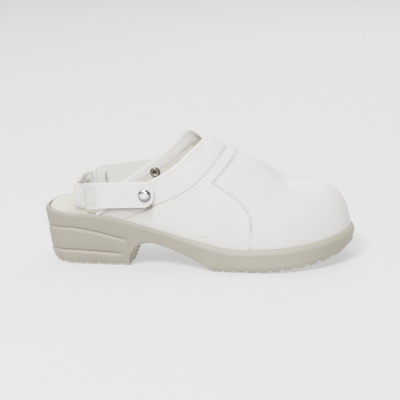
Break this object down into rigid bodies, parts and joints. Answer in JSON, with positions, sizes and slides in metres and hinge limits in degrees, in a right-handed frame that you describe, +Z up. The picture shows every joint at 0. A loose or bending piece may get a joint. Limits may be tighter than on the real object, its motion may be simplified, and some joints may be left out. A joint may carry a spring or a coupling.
{
  "type": "open-heel work clog",
  "caption": "Right-foot white leather work clog with a closed round toe, open heel, riveted strap with gathered elastic back and a stepped block heel.",
  "frame": {"origin": "centre of the bounding box's bottom, on the floor under the shoe", "axes": "+X from the heel to the toe, +Y to the inner (medial) side of this right shoe, +Z up"},
  "size_m": [0.286, 0.104, 0.1176],
  "materials": {
    "sole": "matt moulded foam",
    "footbed": "matt",
    "leather": "smooth, low sheen",
    "elastic": "matt",
    "metal": "polished nickel"
  },
  "bodies": {
    "root": {"sole": "sole", "insole": "footbed", "upper": "leather", "strap_tab_lateral": "leather", "strap_tab_medial": "leather", "strap_elastic": "elastic", "rivet_cap_lateral": "metal", "rivet_cap_medial": "metal", "rivet_ring_lateral": "metal", "rivet_ring_medial": "metal"}
  },
  "joints": []
}
